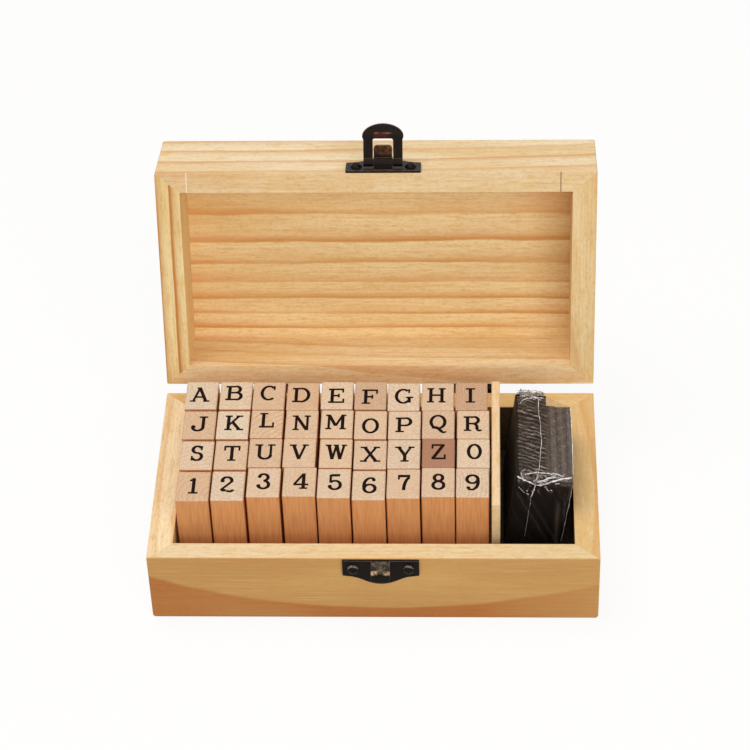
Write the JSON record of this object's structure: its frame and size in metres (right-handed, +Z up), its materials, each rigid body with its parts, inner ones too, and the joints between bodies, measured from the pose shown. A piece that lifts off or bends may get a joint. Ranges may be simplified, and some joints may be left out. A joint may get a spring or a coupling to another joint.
{
  "type": "stamp box",
  "caption": "Small hinged pine box, shown open, with wooden letter and number stamps in rows and a film-wrapped ink pad on edge beside them.",
  "frame": {"origin": "centre of the base's underside, on the surface that the box stands on", "axes": "+X to the right along the box's length, +Y to the back where the hinges are, +Z up; the lid is stored open"},
  "size_m": [0.1698, 0.1542, 0.1396],
  "materials": {
    "pine": "bare planed pine",
    "stamp_wood": "bare sanded wood",
    "aged_bronze": "dark antique bronze, coppery at the edges",
    "black_plastic": "smooth, half gloss",
    "ink_felt": "inked felt",
    "clear_film": "clear crumpled film"
  },
  "bodies": {
    "base": {"base_back_wall": "pine", "base_floor": "pine", "base_front_wall": "pine", "base_left_wall": "pine", "base_right_wall": "pine", "base_screws": "aged_bronze", "divider": "pine", "hinge_base_leaves": "aged_bronze", "hinge_pins": "aged_bronze", "catch_plate": "aged_bronze"},
    "lid": {"lid_back_wall": "pine", "lid_front_wall": "pine", "lid_left_wall": "pine", "lid_right_wall": "pine", "lid_screws": "aged_bronze", "lid_top_board": "pine", "hinge_lid_leaves": "aged_bronze", "hasp_plate": "aged_bronze"},
    "loop": {"hasp_loop": "aged_bronze"},
    "ink_pad": {"pad_cover": "black_plastic", "pad_felt": "ink_felt", "pad_tray": "black_plastic", "pad_wrap": "clear_film"},
    "stamp_0": {"stamp_0": "stamp_wood"},
    "stamp_1": {"stamp_1": "stamp_wood"},
    "stamp_2": {"stamp_2": "stamp_wood"},
    "stamp_3": {"stamp_3": "stamp_wood"},
    "stamp_4": {"stamp_4": "stamp_wood"},
    "stamp_5": {"stamp_5": "stamp_wood"},
    "stamp_6": {"stamp_6": "stamp_wood"},
    "stamp_7": {"stamp_7": "stamp_wood"},
    "stamp_8": {"stamp_8": "stamp_wood"},
    "stamp_9": {"stamp_9": "stamp_wood"},
    "stamp_a": {"stamp_a": "stamp_wood"},
    "stamp_b": {"stamp_b": "stamp_wood"},
    "stamp_c": {"stamp_c": "stamp_wood"},
    "stamp_d": {"stamp_d": "stamp_wood"},
    "stamp_e": {"stamp_e": "stamp_wood"},
    "stamp_f": {"stamp_f": "stamp_wood"},
    "stamp_g": {"stamp_g": "stamp_wood"},
    "stamp_h": {"stamp_h": "stamp_wood"},
    "stamp_i": {"stamp_i": "stamp_wood"},
    "stamp_j": {"stamp_j": "stamp_wood"},
    "stamp_k": {"stamp_k": "stamp_wood"},
    "stamp_l": {"stamp_l": "stamp_wood"},
    "stamp_m": {"stamp_m": "stamp_wood"},
    "stamp_n": {"stamp_n": "stamp_wood"},
    "stamp_o": {"stamp_o": "stamp_wood"},
    "stamp_p": {"stamp_p": "stamp_wood"},
    "stamp_q": {"stamp_q": "stamp_wood"},
    "stamp_r": {"stamp_r": "stamp_wood"},
    "stamp_s": {"stamp_s": "stamp_wood"},
    "stamp_t": {"stamp_t": "stamp_wood"},
    "stamp_u": {"stamp_u": "stamp_wood"},
    "stamp_v": {"stamp_v": "stamp_wood"},
    "stamp_w": {"stamp_w": "stamp_wood"},
    "stamp_x": {"stamp_x": "stamp_wood"},
    "stamp_y": {"stamp_y": "stamp_wood"},
    "stamp_z": {"stamp_z": "stamp_wood"}
  },
  "joints": [
    {"name": "lid_hinge", "type": "hinge", "parent": "base", "child": "lid", "pos_m": [0, 0.04815, 0.0331], "axis": [-1, 0, 0], "range_deg": [-103.9, 0]},
    {"name": "loop_hinge", "type": "hinge", "parent": "lid", "child": "loop", "pos_m": [0.003, 0.07456, 0.12649], "axis": [-1, 0, 0], "range_deg": [-100, 65]},
    {"name": "pad_lift", "type": "slide", "parent": "base", "child": "ink_pad", "axis": [0, 0, 1], "range_m": [0, 0.045]},
    {"name": "stamp_0_lift", "type": "slide", "parent": "base", "child": "stamp_0", "axis": [0, 0, 1], "range_m": [0, 0.045]},
    {"name": "stamp_1_lift", "type": "slide", "parent": "base", "child": "stamp_1", "axis": [0, 0, 1], "range_m": [0, 0.045]},
    {"name": "stamp_2_lift", "type": "slide", "parent": "base", "child": "stamp_2", "axis": [0, 0, 1], "range_m": [0, 0.045]},
    {"name": "stamp_3_lift", "type": "slide", "parent": "base", "child": "stamp_3", "axis": [0, 0, 1], "range_m": [0, 0.045]},
    {"name": "stamp_4_lift", "type": "slide", "parent": "base", "child": "stamp_4", "axis": [0, 0, 1], "range_m": [0, 0.045]},
    {"name": "stamp_5_lift", "type": "slide", "parent": "base", "child": "stamp_5", "axis": [0, 0, 1], "range_m": [0, 0.045]},
    {"name": "stamp_6_lift", "type": "slide", "parent": "base", "child": "stamp_6", "axis": [0, 0, 1], "range_m": [0, 0.045]},
    {"name": "stamp_7_lift", "type": "slide", "parent": "base", "child": "stamp_7", "axis": [0, 0, 1], "range_m": [0, 0.045]},
    {"name": "stamp_8_lift", "type": "slide", "parent": "base", "child": "stamp_8", "axis": [0, 0, 1], "range_m": [0, 0.045]},
    {"name": "stamp_9_lift", "type": "slide", "parent": "base", "child": "stamp_9", "axis": [0, 0, 1], "range_m": [0, 0.045]},
    {"name": "stamp_a_lift", "type": "slide", "parent": "base", "child": "stamp_a", "axis": [0, 0, 1], "range_m": [0, 0.045]},
    {"name": "stamp_b_lift", "type": "slide", "parent": "base", "child": "stamp_b", "axis": [0, 0, 1], "range_m": [0, 0.045]},
    {"name": "stamp_c_lift", "type": "slide", "parent": "base", "child": "stamp_c", "axis": [0, 0, 1], "range_m": [0, 0.045]},
    {"name": "stamp_d_lift", "type": "slide", "parent": "base", "child": "stamp_d", "axis": [0, 0, 1], "range_m": [0, 0.045]},
    {"name": "stamp_e_lift", "type": "slide", "parent": "base", "child": "stamp_e", "axis": [0, 0, 1], "range_m": [0, 0.045]},
    {"name": "stamp_f_lift", "type": "slide", "parent": "base", "child": "stamp_f", "axis": [0, 0, 1], "range_m": [0, 0.045]},
    {"name": "stamp_g_lift", "type": "slide", "parent": "base", "child": "stamp_g", "axis": [0, 0, 1], "range_m": [0, 0.045]},
    {"name": "stamp_h_lift", "type": "slide", "parent": "base", "child": "stamp_h", "axis": [0, 0, 1], "range_m": [0, 0.045]},
    {"name": "stamp_i_lift", "type": "slide", "parent": "base", "child": "stamp_i", "axis": [0, 0, 1], "range_m": [0, 0.045]},
    {"name": "stamp_j_lift", "type": "slide", "parent": "base", "child": "stamp_j", "axis": [0, 0, 1], "range_m": [0, 0.045]},
    {"name": "stamp_k_lift", "type": "slide", "parent": "base", "child": "stamp_k", "axis": [0, 0, 1], "range_m": [0, 0.045]},
    {"name": "stamp_l_lift", "type": "slide", "parent": "base", "child": "stamp_l", "axis": [0, 0, 1], "range_m": [0, 0.045]},
    {"name": "stamp_m_lift", "type": "slide", "parent": "base", "child": "stamp_m", "axis": [0, 0, 1], "range_m": [0, 0.045]},
    {"name": "stamp_n_lift", "type": "slide", "parent": "base", "child": "stamp_n", "axis": [0, 0, 1], "range_m": [0, 0.045]},
    {"name": "stamp_o_lift", "type": "slide", "parent": "base", "child": "stamp_o", "axis": [0, 0, 1], "range_m": [0, 0.045]},
    {"name": "stamp_p_lift", "type": "slide", "parent": "base", "child": "stamp_p", "axis": [0, 0, 1], "range_m": [0, 0.045]},
    {"name": "stamp_q_lift", "type": "slide", "parent": "base", "child": "stamp_q", "axis": [0, 0, 1], "range_m": [0, 0.045]},
    {"name": "stamp_r_lift", "type": "slide", "parent": "base", "child": "stamp_r", "axis": [0, 0, 1], "range_m": [0, 0.045]},
    {"name": "stamp_s_lift", "type": "slide", "parent": "base", "child": "stamp_s", "axis": [0, 0, 1], "range_m": [0, 0.045]},
    {"name": "stamp_t_lift", "type": "slide", "parent": "base", "child": "stamp_t", "axis": [0, 0, 1], "range_m": [0, 0.045]},
    {"name": "stamp_u_lift", "type": "slide", "parent": "base", "child": "stamp_u", "axis": [0, 0, 1], "range_m": [0, 0.045]},
    {"name": "stamp_v_lift", "type": "slide", "parent": "base", "child": "stamp_v", "axis": [0, 0, 1], "range_m": [0, 0.045]},
    {"name": "stamp_w_lift", "type": "slide", "parent": "base", "child": "stamp_w", "axis": [0, 0, 1], "range_m": [0, 0.045]},
    {"name": "stamp_x_lift", "type": "slide", "parent": "base", "child": "stamp_x", "axis": [0, 0, 1], "range_m": [0, 0.045]},
    {"name": "stamp_y_lift", "type": "slide", "parent": "base", "child": "stamp_y", "axis": [0, 0, 1], "range_m": [0, 0.045]},
    {"name": "stamp_z_lift", "type": "slide", "parent": "base", "child": "stamp_z", "axis": [0, 0, 1], "range_m": [0, 0.045]}
  ]
}
